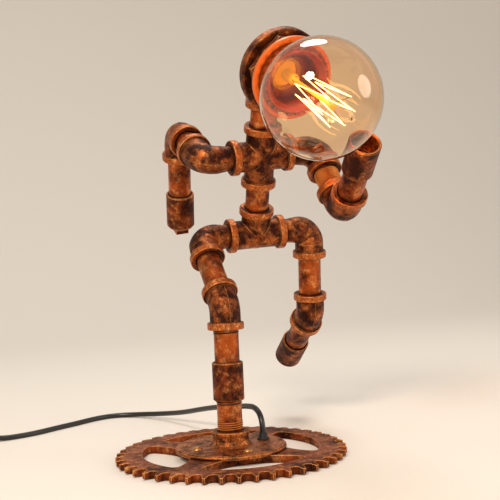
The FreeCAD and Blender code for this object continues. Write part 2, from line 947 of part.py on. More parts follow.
def filament_corner(number):
    """Corner of the zigzag cage of the filament: even ones near the cap, odd ones far out."""
    far = number % 2 == 1
    along = filament_far if far else filament_near
    radius = filament_far_radius if far else filament_near_radius
    angle = 360.0 * (number + 0.5) / (filament_limbs + 1)
    return head_centre + face_dir * along + turned(spine_dir, face_dir, angle) * radius


def bulb_filament():
    """The zigzag wire, standing on hooks that the stem carries."""
    corners = [filament_corner(number) for number in range(filament_limbs + 1)]
    pieces = []
    for start, end in zip(corners, corners[1:]):
        pieces.append(rod(start, unit(end - start), filament_radius, (end - start).Length))
        pieces.append(Part.makeSphere(filament_radius, end))
    pieces.append(Part.makeSphere(filament_radius, corners[0]))
    return pieces[0].fuse(pieces[1:])


def filament_hooks():
    """Fine wires from the stem to the corners of the filament."""
    hooks = []
    far_root = head_centre + face_dir * (filament_far - far_hook_setback)
    near_root = head_centre + face_dir * (stem_pinch + stem_shoulder / 2)
    stem_shoulder_radius = (stem_radius - stem_pinch_thinning + stem_rod_radius) / 2
    for number in range(filament_limbs + 1):
        corner = filament_corner(number)
        far = number % 2 == 1
        outward = unit(corner - head_centre - face_dir * (corner - head_centre).dot(face_dir))
        root = far_root + outward * (stem_rod_radius + hook_room)
        if not far:
            root = near_root + outward * (stem_shoulder_radius + hook_room)
        reach = corner - root
        hooks.append(rod(root, unit(reach), hook_radius, reach.Length - filament_radius - hook_room))
    return Part.makeCompound(hooks)


def left_hand_plug():
    """Square-head plug that closes the left hand."""
    start = left_hand_end
    direction = left_forearm_dir
    across = unit(side - direction * side.dot(direction))
    other = direction.cross(across)
    thread = rod(start - direction * thread_engagement, direction, pipe_radius, thread_engagement + 0.2)
    collar = rod(start, direction, socket_radius + mouth_chamfer, plug_collar)
    half = plug_square / 2
    base = start + direction * (plug_collar - 0.1)
    corners = [
        base + across * half + other * half,
        base - across * half + other * half,
        base - across * half - other * half,
        base + across * half - other * half,
    ]
    head = Part.Face(Part.makePolygon(corners + [corners[0]]))
    head = head.extrude(direction * (plug_square_height - plug_collar + 0.1))
    return joined([thread, collar, head])


def rounded_route(points, radius_list=None):
    """A path of straight runs and tangent arcs through a list of corners, and its radii."""
    corners = [vector(*point) for point in points]
    edges = []
    radii = []
    last = corners[0]
    for number in range(1, len(corners) - 1):
        before = corners[number - 1]
        corner = corners[number]
        after = corners[number + 1]
        into = unit(corner - before)
        out = unit(after - corner)
        turn = into.getAngle(out)
        if radius_list is None:
            cut_back = 0.45 * min((corner - before).Length, (after - corner).Length)
            radius = cut_back / math.tan(turn / 2)
        else:
            radius = radius_list[number - 1]
            cut_back = radius * math.tan(turn / 2)
        radii.append(radius)
        arc_start = corner - into * cut_back
        arc_end = corner + out * cut_back
        inward = unit(out - into)
        middle = corner + inward * (radius / math.cos(turn / 2) - radius)
        edges.append(Part.LineSegment(last, arc_start).toShape())
        edges.append(Part.Arc(arc_start, middle, arc_end).toShape())
        last = arc_end
    edges.append(Part.LineSegment(last, corners[-1]).toShape())
    return Part.Wire(edges), radii


def round_tube(path, radius):
    """A round bar along a path, checked against its section times its length."""
    first = path.Edges[0]
    start = first.Vertexes[0].Point
    heading = first.tangentAt(first.FirstParameter)
    ring = Part.Wire(Part.makeCircle(radius, start, heading))
    tube = path.makePipeShell([ring], True, False)
    ratio = tube.Volume / (math.pi * radius ** 2 * path.Length)
    return tube, ratio


def cord_tube(points, label):
    path, radii = rounded_route(points)
    tube, ratio = round_tube(path, cord_radius)
    print(label, "length", round(path.Length, 1), "volume ratio", round(ratio, 4))
    print(label, "radii", [round(radius, 1) for radius in radii])
    return tube


def coil_points():
    """Where each half turn of the coil starts: it spirals in on the table and out on top."""
    points = []
    for step in range(coil_half_turns + 1):
        sunk = min(step, coil_half_turns - step)
        radius = coil_outer_radius - coil_pitch * sunk / 2
        if step in (coil_climb_step, coil_climb_step + 1):
            radius -= coil_climb_room
        level = cord_radius if step <= coil_climb_step else cord_radius + coil_layer_step
        sign = -1 if step % 2 == 0 else 1
        points.append(vector(coil_centre_x + sign * radius, coil_centre_y, level))
    return points


def cord_coil():
    """The cord that is put away: a neat round coil in two layers, one tube from end to end."""
    points = coil_points()
    forward = vector(0, 1, 0)
    edges = [Part.LineSegment(points[0] + forward * coil_straight, points[0]).toShape()]
    samples = []
    for step in range(coil_half_turns):
        start = points[step]
        end = points[step + 1]
        heading = -forward if step % 2 == 0 else forward
        middle = (start + end) * 0.5
        reach = (end - start).Length / 2
        spoke = (start - middle) * (1 / reach)
        edges.append(Part.Arc(start, middle + heading * reach, end).toShape())
        for part in range(coil_samples):
            angle = math.pi * part / coil_samples
            place = middle + spoke * (reach * math.cos(angle)) + heading * (reach * math.sin(angle))
            samples.append(place)
    edges.append(Part.LineSegment(points[-1], points[-1] + forward * coil_straight).toShape())
    path = Part.Wire(edges)
    coil, ratio = round_tube(path, cord_radius)
    least = least_gap(samples, coil_samples * 2 // 3) - 2 * cord_radius
    print("cord_coil length", round(path.Length, 1), "volume ratio", round(ratio, 4))
    print("cord_coil least gap to itself", round(least, 2))
    return coil


def least_gap(samples, apart):
    """Smallest distance between samples that lie well apart along the tube."""
    least = 1000.0
    for first in range(len(samples)):
        for second in range(first + apart, len(samples)):
            least = min(least, (samples[first] - samples[second]).Length)
    return least


def rounded_box(corner, size, rounding):
    body = Part.makeBox(size.x, size.y, size.z, corner)
    return body.makeFillet(rounding, body.Edges)


rocker_centre_x = switch_x - switch_length / 2
rocker_axis_point = vector(rocker_centre_x, switch_y, rocker_pin_height)


def switch_housing():
    corner = vector(switch_x - switch_length, switch_y - switch_width / 2, 0)
    size = vector(switch_length, switch_width, switch_height)
    body = rounded_box(corner, size, switch_rounding)
    across = vector(0, 1, 0)
    pocket_radius = rocker_radius + rocker_gap
    pocket_width = rocker_width + 2 * rocker_gap
    pocket_start = rocker_axis_point - across * (pocket_width / 2)
    drum = rod(pocket_start, across, pocket_radius, pocket_width)
    mouth = Part.makeBox(
        2 * pocket_radius, pocket_width, switch_height,
        vector(rocker_centre_x - pocket_radius, switch_y - pocket_width / 2, rocker_pin_height),
    )
    pin_length = rocker_width + 2 * rocker_pin_overhang
    pin_hole = rod(
        rocker_axis_point - across * (pin_length / 2 + rocker_pin_room), across,
        rocker_pin_radius + thread_gap, pin_length + 2 * rocker_pin_room,
    )
    return cut_all(body, [drum.fuse(mouth), pin_hole])


def switch_rocker():
    """Rocker of the switch, pressed down on its lamp-on side, with its pin."""
    across = vector(0, 1, 0)
    start = rocker_axis_point - across * (rocker_width / 2)
    drum = rod(start, across, rocker_radius, rocker_width)
    rise = switch_height - rocker_pin_height + rocker_rise
    tilt = math.radians(rocker_angle)
    shoulder = (rocker_radius - rise * math.sin(tilt)) / math.cos(tilt)
    end_rise = rise - shoulder * math.tan(tilt)
    corners = [
        vector(-rocker_radius, 0, 0),
        vector(-shoulder, 0, end_rise),
        vector(0, 0, rise),
        vector(shoulder, 0, end_rise),
        vector(rocker_radius, 0, 0),
    ]
    corners = [start + corner for corner in corners]
    key = Part.Face(Part.makePolygon(corners + [corners[0]])).extrude(across * rocker_width)
    body = drum.fuse(key).removeSplitter()
    guide = rod(start, across, rocker_radius, rocker_width)
    roof = Part.makeBox(
        2 * rocker_radius, rocker_width, 2 * rocker_radius,
        start + vector(-rocker_radius, 0, 0),
    )
    body = body.common(guide.fuse(roof))
    pin_length = rocker_width + 2 * rocker_pin_overhang
    pin = rod(rocker_axis_point - across * (pin_length / 2), across, rocker_pin_radius, pin_length)
    body = body.fuse(pin).removeSplitter()
    body.rotate(rocker_axis_point, across, rocker_angle)
    return body


coil_end = coil_points()[-1] + vector(0, coil_straight, 0)


def mains_plug():
    """Two-blade plug at the end of the cord, with its moulded sleeve."""
    forward = vector(0, 1, 0)
    sleeve = Part.makeCone(
        plug_sleeve_tip, plug_sleeve_radius, plug_sleeve_length + 0.5, coil_end, forward
    )
    corner = coil_end + vector(-mains_plug_width / 2, plug_sleeve_length, 0)
    corner.z = 0
    size = vector(mains_plug_width, mains_plug_length, mains_plug_height)
    body = rounded_box(corner, size, mains_plug_rounding)
    pieces = [sleeve, body]
    for sign in (-1, 1):
        blade_corner = coil_end + forward * (plug_sleeve_length + mains_plug_length - 0.5)
        blade_corner = blade_corner + side * (sign * blade_spacing / 2 - blade_thickness / 2)
        blade_corner = blade_corner - up * (blade_width / 2)
        pieces.append(Part.makeBox(blade_thickness, blade_length + 0.5, blade_width, blade_corner))
    return joined(pieces)


def lead(corners, radii):
    """A stretch of the inner lead, along the middle of the fittings."""
    route = [(corner.x, corner.y, corner.z) for corner in corners]
    path, _ = rounded_route(route, radii)
    tube, _ = round_tube(path, lead_radius)
    return tube


left_hand_start = left_elbow + left_forearm_dir * (elbow_reach + left_forearm_show)
left_hand_end = left_hand_start + left_forearm_dir * end_coupling_length
right_hand_start = right_elbow + right_forearm_dir * (elbow_reach + right_forearm_show)
foot_start = right_knee + right_shin_dir * (angle_reach + right_shin_show)
exit_hole = flange_hole_place(0, 0)

sub_parts = {
    "base_sprocket": base_sprocket,
    "floor_flange": floor_flange,
    "flange_screws": flange_screws,
    "cord_relief": cord_relief,
    "leg_nipple_lower": lambda: chamfered_tube(
        vector(0, 0, sprocket_thickness + flange_recess_depth), up, pipe_radius, pipe_bore,
        coupling_start + thread_engagement - sprocket_thickness - flange_recess_depth,
        nipple_end_chamfer,
    ),
    "leg_coupling": lambda: coupling(vector(0, 0, coupling_start), up, leg_coupling_length),
    "leg_nipple_upper": lambda: nipple(vector(0, 0, upper_leg_start), up, upper_leg_show),
    "left_knee_elbow": lambda: elbow(knee, -up, angle_reach, thigh_dir, angle_reach, angle_bend),
    "left_thigh_nipple": lambda: nipple(knee + thigh_dir * angle_reach, thigh_dir, left_thigh_show),
    "left_hip_elbow": lambda: street_elbow(
        left_hip, -thigh_dir, hip_elbow_reach, hip_dir, left_hip_street
    ),
    "hip_tee": lambda: branched_fitting(hip_centre, [
        (hip_dir, tee_run_reach), (-hip_dir, tee_run_reach), (spine_dir, tee_branch_reach)
    ]),
    "torso_nipple": lambda: nipple(
        hip_centre + spine_dir * tee_branch_reach, spine_dir, torso_show
    ),
    "chest_cross": lambda: branched_fitting(chest, [
        (shoulder_dir, cross_reach), (-shoulder_dir, cross_reach),
        (spine_dir, cross_reach), (-spine_dir, cross_reach),
    ]),
    "neck_nipple": lambda: nipple(chest + spine_dir * cross_reach, spine_dir, neck_show),
    "left_shoulder_elbow": lambda: street_elbow(
        left_shoulder, left_arm_dir, elbow_reach, shoulder_dir, left_shoulder_street
    ),
    "left_arm_nipple": lambda: nipple(
        left_shoulder + left_arm_dir * elbow_reach, left_arm_dir, left_arm_show
    ),
    "left_elbow": lambda: elbow(
        left_elbow, -left_arm_dir, elbow_reach, left_forearm_dir, elbow_reach, elbow_bend
    ),
    "left_forearm_nipple": lambda: nipple(
        left_elbow + left_forearm_dir * elbow_reach, left_forearm_dir, left_forearm_show
    ),
    "left_hand_coupling": lambda: coupling(left_hand_start, left_forearm_dir, end_coupling_length),
    "left_hand_plug": left_hand_plug,
    "right_shoulder_elbow": lambda: street_elbow(
        right_shoulder, right_arm_dir, elbow_reach, -shoulder_dir, right_shoulder_street
    ),
    "right_arm_nipple": lambda: nipple(
        right_shoulder + right_arm_dir * elbow_reach, right_arm_dir, right_arm_show
    ),
    "right_elbow": lambda: elbow(
        right_elbow, -right_arm_dir, elbow_reach, right_forearm_dir, elbow_reach, elbow_bend
    ),
    "right_forearm_nipple": lambda: nipple(
        right_elbow + right_forearm_dir * elbow_reach, right_forearm_dir, right_forearm_show
    ),
    "right_hand_coupling": lambda: coupling(
        right_hand_start, right_forearm_dir, end_coupling_length
    ),
    "right_hip_elbow": lambda: street_elbow(
        right_hip, right_thigh_dir, hip_elbow_reach, -hip_dir, right_hip_street
    ),
    "right_thigh_nipple": lambda: nipple(
        right_hip + right_thigh_dir * hip_elbow_reach, right_thigh_dir, right_thigh_show
    ),
    "right_knee_elbow": lambda: elbow(
        right_knee, -right_thigh_dir, angle_reach, right_shin_dir, angle_reach, angle_bend
    ),
    "right_shin_nipple": lambda: nipple(
        right_knee + right_shin_dir * angle_reach, right_shin_dir, right_shin_show
    ),
    "right_foot_coupling": lambda: coupling(foot_start, right_shin_dir, end_coupling_length),
    "head_elbow": head_elbow,
    "head_bushing": head_bushing,
    "lampholder_body": lampholder_body,
    "lampholder_shell": lampholder_shell,
    "lampholder_contact": lampholder_contact,
    "rear_shade_ring": rear_shade_ring,
    "front_shade_ring": front_shade_ring,
    "bulb_cap": bulb_cap,
    "bulb_glass": bulb_glass,
    "bulb_stem": bulb_stem,
    "bulb_filament": bulb_filament,
    "filament_hooks": filament_hooks,
    "lead_leg": lambda: lead(
        [
            exit_hole + up * cord_to_switch[0][2],
            exit_hole + up * lead_height,
            up * lead_height,
            knee,
            left_hip,
            hip_centre,
            waist_plane,
        ],
        [4.0, 5.5, 14.0, 12.0, 12.0],
    ),
    "lead_torso": lambda: rod(waist_plane, spine_dir, lead_radius, (neck_plane - waist_plane).Length),
    "lead_head": lambda: lead(
        [neck_plane, head_centre, head_centre + face_dir * holder_rear], [8.0]
    ),
    "cord_run": lambda: cord_tube(cord_to_switch, "cord_run"),
    "cord_link": lambda: cord_tube(cord_to_coil, "cord_link"),
    "cord_coil": cord_coil,
    "switch_housing": switch_housing,
    "switch_rocker": switch_rocker,
    "mains_plug": mains_plug,
}

os.makedirs("parts", exist_ok=True)
for name, build in sub_parts.items():
    shape = build()
    solids = len(shape.Solids)
    if not shape.isValid() or solids == 0:
        print("not valid:", name, solids)
    shape.exportStep("parts/" + name + ".step")
    print(name, solids, "solid(s)", round(shape.Volume), "mm3")
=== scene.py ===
# %% [markdown]
# # A running robot made of pipe fittings
# The lamp stands on a chain sprocket. Its limbs are steel nipples screwed into malleable
# iron elbows, its head is a large reducing elbow, and its face is a clear globe bulb.
# The frame brings every rigid piece at its real size. What is left to do here is the
# finish of each metal, the threads, the lit filament and the cord.

# %% Load the frame
import json
import math
import bpy
import numpy
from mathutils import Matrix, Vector
from mathutils.bvhtree import BVHTree

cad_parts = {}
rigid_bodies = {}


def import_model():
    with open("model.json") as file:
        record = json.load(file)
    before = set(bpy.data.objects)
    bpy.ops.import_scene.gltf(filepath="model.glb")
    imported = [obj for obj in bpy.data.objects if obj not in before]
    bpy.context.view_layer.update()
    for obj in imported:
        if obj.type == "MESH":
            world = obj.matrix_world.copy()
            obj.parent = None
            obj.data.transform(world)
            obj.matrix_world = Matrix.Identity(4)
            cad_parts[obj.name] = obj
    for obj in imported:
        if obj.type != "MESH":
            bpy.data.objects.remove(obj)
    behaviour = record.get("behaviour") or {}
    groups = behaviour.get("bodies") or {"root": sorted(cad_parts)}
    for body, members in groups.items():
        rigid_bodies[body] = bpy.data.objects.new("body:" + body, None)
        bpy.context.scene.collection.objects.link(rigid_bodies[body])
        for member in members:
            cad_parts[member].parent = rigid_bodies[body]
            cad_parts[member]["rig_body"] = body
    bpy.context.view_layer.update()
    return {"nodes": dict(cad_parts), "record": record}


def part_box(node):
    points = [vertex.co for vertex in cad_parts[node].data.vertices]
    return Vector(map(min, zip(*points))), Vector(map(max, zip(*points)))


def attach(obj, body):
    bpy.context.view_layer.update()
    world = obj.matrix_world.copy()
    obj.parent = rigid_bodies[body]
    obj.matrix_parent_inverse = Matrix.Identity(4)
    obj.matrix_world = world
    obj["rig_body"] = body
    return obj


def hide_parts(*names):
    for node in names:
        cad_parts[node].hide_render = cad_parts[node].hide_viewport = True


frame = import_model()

nodes = frame["nodes"]
print("pieces in the frame:", len(nodes))

# %% [markdown]
# The camera stands low in front of the lamp, a little to its left, and rolled by a few
# degrees, as a hand-held picture is. A 70 mm lens from 0.85 m away keeps the perspective
# of the photograph.

# %% Camera
camera_place = Vector((-0.2704, -0.7868, 0.1875))
camera_azimuth = -20.60
camera_elevation = 0.84
camera_roll = 2.6
frame_width_px = 500
focal_px = 974.4
sensor_mm = 36.0

azimuth = math.radians(camera_azimuth)
elevation = math.radians(camera_elevation)
forward = Vector((
    -math.sin(azimuth) * math.cos(elevation),
    math.cos(azimuth) * math.cos(elevation),
    -math.sin(elevation),
))
level_right = forward.cross(Vector((0, 0, 1))).normalized()
level_up = level_right.cross(forward)
roll = math.radians(camera_roll)
picture_right = level_right * math.cos(roll) - level_up * math.sin(roll)
picture_up = level_right * math.sin(roll) + level_up * math.cos(roll)

camera_data = bpy.data.cameras.new("camera")
camera = bpy.data.objects.new("camera", camera_data)
bpy.context.scene.collection.objects.link(camera)
camera_data.sensor_width = sensor_mm
camera_data.lens = sensor_mm * focal_px / frame_width_px
camera_data.clip_start = 0.05
for row in range(3):
    camera.matrix_world[row][0] = picture_right[row]
    camera.matrix_world[row][1] = picture_up[row]
    camera.matrix_world[row][2] = -forward[row]
    camera.matrix_world[row][3] = camera_place[row]
bpy.context.scene.camera = camera
print("lens:", round(camera_data.lens, 1), "mm")

# %% [markdown]
# Colours are written as on a paint chart, in sRGB hex, and turned to the linear values
# that a shader works with. One helper adds a shader node with its options and inputs.

# %% Colours and the node helper


def linear(hex_colour):
    """A hex colour as linear red, green, blue and full alpha."""
    channels = []
    for start in (1, 3, 5):
        value = int(hex_colour[start:start + 2], 16) / 255
        low = value / 12.92
        high = ((value + 0.055) / 1.055) ** 2.4
        channels.append(low if value <= 0.04045 else high)
    return (*channels, 1.0)


def add_node(tree, kind, inputs=None, **options):
    """One node. An input is a value, or the socket that feeds it."""
    made = tree.nodes.new(kind)
    for name, value in options.items():
        setattr(made, name, value)
    for name, value in (inputs or {}).items():
        if isinstance(value, bpy.types.NodeSocket):
            tree.links.new(value, made.inputs[name])
        else:
            made.inputs[name].default_value = value
    return made


def new_material(name):
    """An empty material with its shader and its node tree."""
    material = bpy.data.materials.new(name)
    material.use_nodes = True
    tree = material.node_tree
    shader = tree.nodes["Principled BSDF"]
    return material, tree, shader


def per_metre(size_mm):
    """The scale of a pattern whose features are this many millimetres across."""
    return 1000.0 / size_mm


# %% [markdown]
# ## Where the pipes run
# Threads, casting seams and the bright bands all sit on the lines of the pipes, so those
# lines are measured from the frame. No face of a pipe's round wall points along the pipe, so
# its axis is the direction that its faces point along the least. The centre of a bent
# fitting is then where two axes meet, or, for a street elbow, the point of its pipe's axis
# that lies nearest to the centre of the cross or the tee.

# %% Axes of the pipes
thread_engagement = 0.013
tee_branch_reach = 0.0267
end_tolerance = 0.0001


def pipe_axis(name):
    """Middle of the two ends of a straight pipe."""
    mesh = nodes[name].data
    spread = numpy.zeros((3, 3))
    for face in mesh.polygons:
        normal = numpy.array(face.normal)
        spread += face.area * numpy.outer(normal, normal)
    along = Vector(numpy.linalg.eigh(spread)[1][:, 0])
    reaches = [vertex.co.dot(along) for vertex in mesh.vertices]
    ends = []
    for limit in (min(reaches), max(reaches)):
        ring = {
            tuple(round(value, 5) for value in vertex.co) for vertex in mesh.vertices
            if abs(vertex.co.dot(along) - limit) < end_tolerance
        }
        ends.append(sum((Vector(point) for point in ring), Vector()) / len(ring))
    return ends


def nearest_on(axis, point):
    """The point of an axis that lies nearest to a given point."""
    along = (axis[1] - axis[0]).normalized()
    return axis[0] + along * (point - axis[0]).dot(along)


def meeting_of(first, second):
    """Where two axes come nearest to each other."""
    first_dir = (first[1] - first[0]).normalized()
    second_dir = (second[1] - second[0]).normalized()
    gap = second[0] - first[0]
    slant = first_dir.dot(second_dir)
    reach = (gap.dot(first_dir) - slant * gap.dot(second_dir)) / (1 - slant * slant)
    return first[0] + first_dir * reach


def away_from(centre, axis):
    """Direction from the centre of a fitting along one of its pipes."""
    far = max(axis, key=lambda point: (point - centre).length)
    return (far - centre).normalized()


nipple_names = [name for name in nodes if "_nipple" in name]
axes = {name: pipe_axis(name) for name in nipple_names}
knee = meeting_of(axes["leg_nipple_upper"], axes["left_thigh_nipple"])
torso = sorted(axes["torso_nipple"], key=lambda point: point.z)
neck = sorted(axes["neck_nipple"], key=lambda point: point.z)
spine = (neck[1] - torso[0]).normalized()
chest = (torso[1] + neck[0]) / 2
pelvis = torso[0] + spine * (thread_engagement - tee_branch_reach)
centres = {
    "left_hip_elbow": nearest_on(axes["left_thigh_nipple"], pelvis),
    "right_hip_elbow": nearest_on(axes["right_thigh_nipple"], pelvis),
    "left_shoulder_elbow": nearest_on(axes["left_arm_nipple"], chest),
    "right_shoulder_elbow": nearest_on(axes["right_arm_nipple"], chest),
    "left_elbow": meeting_of(axes["left_arm_nipple"], axes["left_forearm_nipple"]),
    "right_elbow": meeting_of(axes["right_arm_nipple"], axes["right_forearm_nipple"]),
    "left_knee_elbow": knee,
    "right_knee_elbow": meeting_of(axes["right_thigh_nipple"], axes["right_shin_nipple"]),
}
for name, centre in centres.items():
    print(name, [round(value * 1000, 1) for value in centre])

# %% [markdown]
# On the real lamp the bands round the ports were rubbed harder than the bodies, so they are
# brighter. A value on each face marks them: 1 on a band, 0 elsewhere. A face is on a band
# when all its corners lie further from a pipe's axis than the body of a fitting does, and
# not as far out as the next leg. A mark on the face keeps the edge of the band sharp.

# %% Mark the bands of the fittings
band_inner = 0.0142
band_outer = 0.0163
lines = list(axes.values())
lines.append((centres["left_hip_elbow"], centres["right_hip_elbow"]))
lines.append((centres["left_shoulder_elbow"], centres["right_shoulder_elbow"]))
fittings = [
    part["node"] for part in frame["record"]["subparts"]
    if part["material_slot"] == "cast_fitting" and part["node"] != "floor_flange"
]


def on_a_band(corners):
    for start, end in lines:
        along = (end - start).normalized()
        length = (end - start).length
        inside = True
        for point in corners:
            reach = (point - start).dot(along)
            away = (point - start - along * reach).length
            if not (0 < reach < length and band_inner < away < band_outer):
                inside = False
        if inside:
            return 1.0
    return 0.0


for name in fittings:
    mesh = nodes[name].data
    mark = mesh.attributes.new("band", "FLOAT", "FACE")
    corners_of = [[mesh.vertices[i].co for i in face.vertices] for face in mesh.polygons]
    mark.data.foreach_set("value", [on_a_band(corners) for corners in corners_of])
print("fittings with marked bands:", len(fittings))

# %% [markdown]
# ## Antique copper wash
# The fittings are malleable iron, cast in sand, so their skin is rough. A dark brown ground
# fills every pit, and copper paint is brushed over it nearly dry, so that it stays on the
# high spots, the bands and the edges. Broad stains, a fine speckle, darkening in the hollows,
# which is the dark ground and also painted shade, and a worn line on each edge, which is also
# a painted highlight, make that. Pipe is drawn and smooth, so it gets the same paint with
# larger stains and a fainter speckle.

# %% Copper wash material
band_lift = 0.24
stain_softness = 0.2
hollow_reach = 0.005
# Radius of the bright line on edges: worn paint, and also a painted highlight
worn_and_highlit_edge_radius = 0.0009
ground_brown = "#37150a"
copper = "#b9602a"
bright_copper = "#f0a662"


def copper_wash(name, middle, cover, stain_mm, grain_mm, grain_depth_mm, speckle, rough):
    """Dark ground with copper brushed over it, for one kind of metal surface."""
    material, tree, shader = new_material(name)
    place = add_node(tree, "ShaderNodeTexCoord").outputs["Object"]
    # Broad stains of the brush, and the fine grain of the casting under them
    stain = add_node(tree, "ShaderNodeTexNoise", {
        "Vector": place, "Scale": per_metre(stain_mm), "Detail": 6.0, "Roughness": 0.68,
    })
    grain = add_node(tree, "ShaderNodeTexNoise", {
        "Vector": place, "Scale": per_metre(grain_mm), "Detail": 3.0, "Roughness": 0.6,
    })
    band = add_node(tree, "ShaderNodeAttribute", attribute_name="band")
    more = add_node(tree, "ShaderNodeMath", {
        0: band.outputs["Fac"], 1: band_lift, 2: stain.outputs["Fac"],
    }, operation="MULTIPLY_ADD")
    covered = add_node(tree, "ShaderNodeMapRange", {
        "Value": more.outputs[0], "From Min": 0.6 - cover,
        "From Max": 0.6 + stain_softness - cover,
    })
    speck = add_node(tree, "ShaderNodeMapRange", {
        "Value": grain.outputs["Fac"], "From Min": 0.38, "From Max": 0.56,
        "To Min": 1.0 - speckle, "To Max": 1.0,
    })
    paint = add_node(tree, "ShaderNodeMath", {
        0: covered.outputs[0], 1: speck.outputs[0],
    }, operation="MULTIPLY")
    # The dark ground shows in a hollow, where a nearly dry brush doesn't reach; this darkening is
    # also painted shade in hollows and gaps
    hollow_ground_and_shade = add_node(tree, "ShaderNodeAmbientOcclusion", {"Distance": hollow_reach}, samples=6)
    clear_of_ground_and_shade = add_node(tree, "ShaderNodeMapRange", {
        "Value": hollow_ground_and_shade.outputs["AO"], "From Min": 0.40, "From Max": 0.85,
    })
    # On an edge the rounded normal leans away from the true one: there the paint is worn, and the
    # bright line is also a painted highlight
    rounded = add_node(tree, "ShaderNodeBevel", {"Radius": worn_and_highlit_edge_radius}, samples=6)
    true_normal = add_node(tree, "ShaderNodeNewGeometry").outputs["Normal"]
    flat = add_node(tree, "ShaderNodeVectorMath", {
        0: rounded.outputs[0], 1: true_normal,
    }, operation="DOT_PRODUCT")
    worn_and_highlit_edge = add_node(tree, "ShaderNodeMapRange", {
        "Value": flat.outputs["Value"], "From Min": 0.995, "From Max": 0.90,
    })
    worn_and_highlit_edge_open = add_node(tree, "ShaderNodeMath", {
        0: worn_and_highlit_edge.outputs[0], 1: clear_of_ground_and_shade.outputs[0],
    }, operation="MULTIPLY")
    shown = add_node(tree, "ShaderNodeMath", {
        0: paint.outputs[0], 1: clear_of_ground_and_shade.outputs[0],
    }, operation="MULTIPLY")
    # Smaller patches inside the stains were rubbed until they shine
    polish = add_node(tree, "ShaderNodeTexNoise", {
        "Vector": place, "Scale": per_metre(stain_mm * 0.3), "Detail": 5.0, "Roughness": 0.7,
    })
    polished = add_node(tree, "ShaderNodeMapRange", {
        "Value": polish.outputs["Fac"], "From Min": 0.50, "From Max": 0.68,
    })
    polished_high = add_node(tree, "ShaderNodeMath", {
        0: polished.outputs[0], 1: speck.outputs[0],
    }, operation="MULTIPLY")
    coat = add_node(tree, "ShaderNodeMix", {
        "Factor": polished_high.outputs[0], 6: linear(middle), 7: linear(bright_copper),
    }, data_type="RGBA")
    washed = add_node(tree, "ShaderNodeMix", {
        "Factor": shown.outputs[0], 6: linear(ground_brown), 7: coat.outputs[2],
    }, data_type="RGBA")
    edged = add_node(tree, "ShaderNodeMix", {
        "Factor": worn_and_highlit_edge_open.outputs[0], 6: washed.outputs[2], 7: linear(bright_copper),
    }, data_type="RGBA")
    gloss = add_node(tree, "ShaderNodeMapRange", {
        "Value": shown.outputs[0], "To Min": rough + 0.2, "To Max": rough,
    })
    relief = add_node(tree, "ShaderNodeBump", {
        "Height": grain.outputs["Fac"], "Distance": grain_depth_mm / 1000,
        "Normal": rounded.outputs[0],
    })
    tree.links.new(edged.outputs[2], shader.inputs["Base Color"])
    tree.links.new(gloss.outputs[0], shader.inputs["Roughness"])
    tree.links.new(relief.outputs[0], shader.inputs["Normal"])
    shader.inputs["Metallic"].default_value = 0.85
    return material


cast_iron = copper_wash("cast iron, copper wash", copper, 0.17, 14.0, 1.1, 0.4, 0.6, 0.34)
drawn_pipe = copper_wash("drawn pipe, copper wash", "#b4531d", 0.24, 20.0, 0.9, 0.1, 0.3, 0.34)
coupling_steel = copper_wash(
    "turned coupling, copper wash", "#9a461a", 0.17, 18.0, 0.9, 0.12, 0.35, 0.4
)
sprocket_steel = copper_wash(
    "sprocket plate, copper wash", "#a04a1e", 0.22, 24.0, 1.2, 0.15, 0.3, 0.44
)
flange_iron = copper_wash("flange, copper wash", "#c26a2e", 0.22, 12.0, 1.5, 0.9, 0.6, 0.36)
print("copper wash: 5 surfaces")

# %% [markdown]
# ## Plain materials
# The cord and its fittings are soft and hard black plastics. The cap of the bulb is brass.
# The broad ring behind the globe is lacquered copper, and part of its bright orange is a painted
# glow of the lamp's light.

# %% Plain materials


default_ior = 1.5


def plain(name, colour, rough, metallic=0.0, ior=default_ior):
    """One colour with a slight grain, for plastics and small metal parts."""
    grain_mm = 0.6
    grain_depth_mm = 0.02
    material, tree, shader = new_material(name)
    place = add_node(tree, "ShaderNodeTexCoord").outputs["Object"]
    grain = add_node(tree, "ShaderNodeTexNoise", {
        "Vector": place, "Scale": per_metre(grain_mm), "Detail": 3.0,
    })
    relief = add_node(tree, "ShaderNodeBump", {
        "Height": grain.outputs["Fac"], "Distance": grain_depth_mm / 1000,
    })
    sheen = add_node(tree, "ShaderNodeMapRange", {
        "Value": grain.outputs["Fac"], "To Min": rough - 0.05, "To Max": rough + 0.08,
    })
    tree.links.new(relief.outputs[0], shader.inputs["Normal"])
    tree.links.new(sheen.outputs[0], shader.inputs["Roughness"])
    shader.inputs["Base Color"].default_value = linear(colour)
    shader.inputs["Metallic"].default_value = metallic
    shader.inputs["IOR"].default_value = ior
    return material


# Soft PVC is extruded over the cores: a smooth skin with a soft, narrow line of light
cord_pvc = plain("cord sheath, flexible PVC", "#15110e", 0.34, ior=1.53)
# ABS comes out of a fine-textured mould: an even, satin black
hard_abs = plain("plug and switch, moulded ABS", "#191614", 0.42, ior=1.54)
# Moulded rubber has hardly any gloss, so it is the dullest black here
rubber = plain("strain relief, rubber", "#120e0c", 0.6, ior=1.52)
# Sprayed enamel with copper flakes: a warm gloss that is half metal
holder_paint = plain("lampholder, copper enamel", "#8a3f16", 0.4, 0.4)
# Deep-drawn brass sheet: bright, yellow and smooth
brass = plain("cap and shell, brass", "#c99b4a", 0.3, 1.0)
# Pressed screws with a yellow plating
screw_steel = plain("screws, plated steel", "#c08a55", 0.32, 1.0)
# Drawn molybdenum is a grey wire that doesn't glow
hook_wire = plain("hooks, molybdenum wire", "#8a8378", 0.35, 1.0)
# Lacquer over copper paint; part of its bright orange is a painted glow from the bulb right in
# front of it
ring_lacquer_and_glow = plain("shade ring, copper lacquer with painted glow", "#cf6420", 0.3, 0.35)
